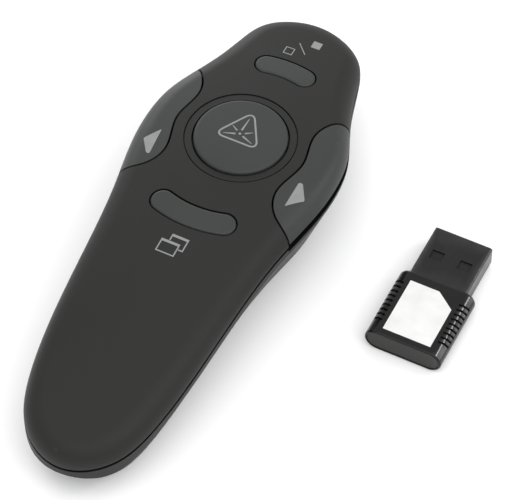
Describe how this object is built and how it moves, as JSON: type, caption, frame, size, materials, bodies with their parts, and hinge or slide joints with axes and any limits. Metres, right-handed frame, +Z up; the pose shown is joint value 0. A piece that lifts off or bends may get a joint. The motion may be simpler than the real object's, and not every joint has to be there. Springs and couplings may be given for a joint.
{
  "type": "wireless presentation clicker",
  "caption": "Palm-shaped wireless presentation clicker with a round laser button, curved front and rear buttons, hinged side keys and a plug-in radio receiver beside it.",
  "frame": {"origin": "on the resting plane straight below the middle of the round laser button, on the flat underside of the lower shell", "axes": "+Z up out of the buttons, +Y towards the nose with the laser window, +X to the holder's right"},
  "size_m": [0.0713, 0.1089, 0.0229],
  "materials": {
    "cover_soft": "soft-touch charcoal",
    "shell_lower": "fine grain dark grey",
    "button_grey": "satin mid grey",
    "switch_plastic": "plain",
    "plunger_plastic": "plain",
    "board_green": "solder resist",
    "chip_black": "plain",
    "can_steel": "tinned",
    "barrel_brass": "turned",
    "optic": "polished",
    "window_smoke": "smoked",
    "contact_steel": "nickel plated",
    "cell_wrap": "printed wrap, plain",
    "screw_steel": "zinc black",
    "receiver_plastic": "fine grain",
    "end_panel": "fine grain",
    "plug_metal": "black nickel",
    "tongue_plastic": "plain",
    "contact_gold": "gold plated",
    "label_white": "blank sticker"
  },
  "bodies": {
    "handset": {"top_cover": "cover_soft", "lower_shell": "shell_lower", "main_board": "board_green", "switch_bodies": "switch_plastic", "radio_chip": "chip_black", "crystal_can": "can_steel", "laser_barrel": "barrel_brass", "laser_lens": "optic", "laser_diode": "can_steel", "laser_window": "window_smoke", "power_switch_body": "switch_plastic", "left_cell": "cell_wrap", "right_cell": "cell_wrap", "bridge_contact": "contact_steel", "flat_contact": "contact_steel", "spring_contact": "contact_steel", "case_screws": "screw_steel"},
    "laser_press": {"laser_button": "button_grey", "laser_switch_plunger": "plunger_plastic"},
    "front_press": {"front_button": "button_grey", "front_switch_plunger": "plunger_plastic"},
    "rear_press": {"rear_button": "button_grey", "rear_switch_plunger": "plunger_plastic"},
    "left_press": {"left_key": "button_grey", "left_switch_plunger": "plunger_plastic"},
    "right_press": {"right_key": "button_grey", "right_switch_plunger": "plunger_plastic"},
    "battery_cover": {"battery_door": "shell_lower"},
    "power_slider": {"power_switch_knob": "button_grey"},
    "receiver": {"receiver_housing": "receiver_plastic", "receiver_end_cap": "end_panel", "plug_shell": "plug_metal", "plug_tongue": "tongue_plastic", "plug_contacts": "contact_gold", "receiver_board": "board_green", "receiver_chip": "chip_black", "receiver_label": "label_white"}
  },
  "joints": [
    {"name": "laser_button_press", "type": "slide", "parent": "handset", "child": "laser_press", "axis": [0, 0, -1], "range_m": [0, 0.00045], "stiffness_N_per_m": 900, "springref_m": -0.0006},
    {"name": "front_button_press", "type": "slide", "parent": "handset", "child": "front_press", "axis": [0, 0, -1], "range_m": [0, 0.00045], "stiffness_N_per_m": 900, "springref_m": -0.0006},
    {"name": "rear_button_press", "type": "slide", "parent": "handset", "child": "rear_press", "axis": [0, 0, -1], "range_m": [0, 0.00045], "stiffness_N_per_m": 900, "springref_m": -0.0006},
    {"name": "right_key_press", "type": "hinge", "parent": "handset", "child": "right_press", "pos_m": [0, 0.0097, 0.018], "axis": [1, 0, 0], "range_deg": [0, 1.6], "stiffness_Nm_per_rad": 0.35, "springref_deg": -2.29},
    {"name": "left_key_press", "type": "hinge", "parent": "handset", "child": "left_press", "pos_m": [0, 0.0097, 0.018], "axis": [1, 0, 0], "range_deg": [0, 1.6], "stiffness_Nm_per_rad": 0.35, "springref_deg": -2.29},
    {"name": "battery_door_slide", "type": "slide", "parent": "handset", "child": "battery_cover", "axis": [0, -1, 0], "range_m": [0, 0.073]},
    {"name": "power_switch_slide", "type": "slide", "parent": "handset", "child": "power_slider", "axis": [1, 0, 0], "range_m": [0, 0.0024]},
    {"name": "receiver_lift", "type": "slide", "parent": "handset", "child": "receiver", "axis": [0, 0, 1], "range_m": [0, 0.03]}
  ]
}
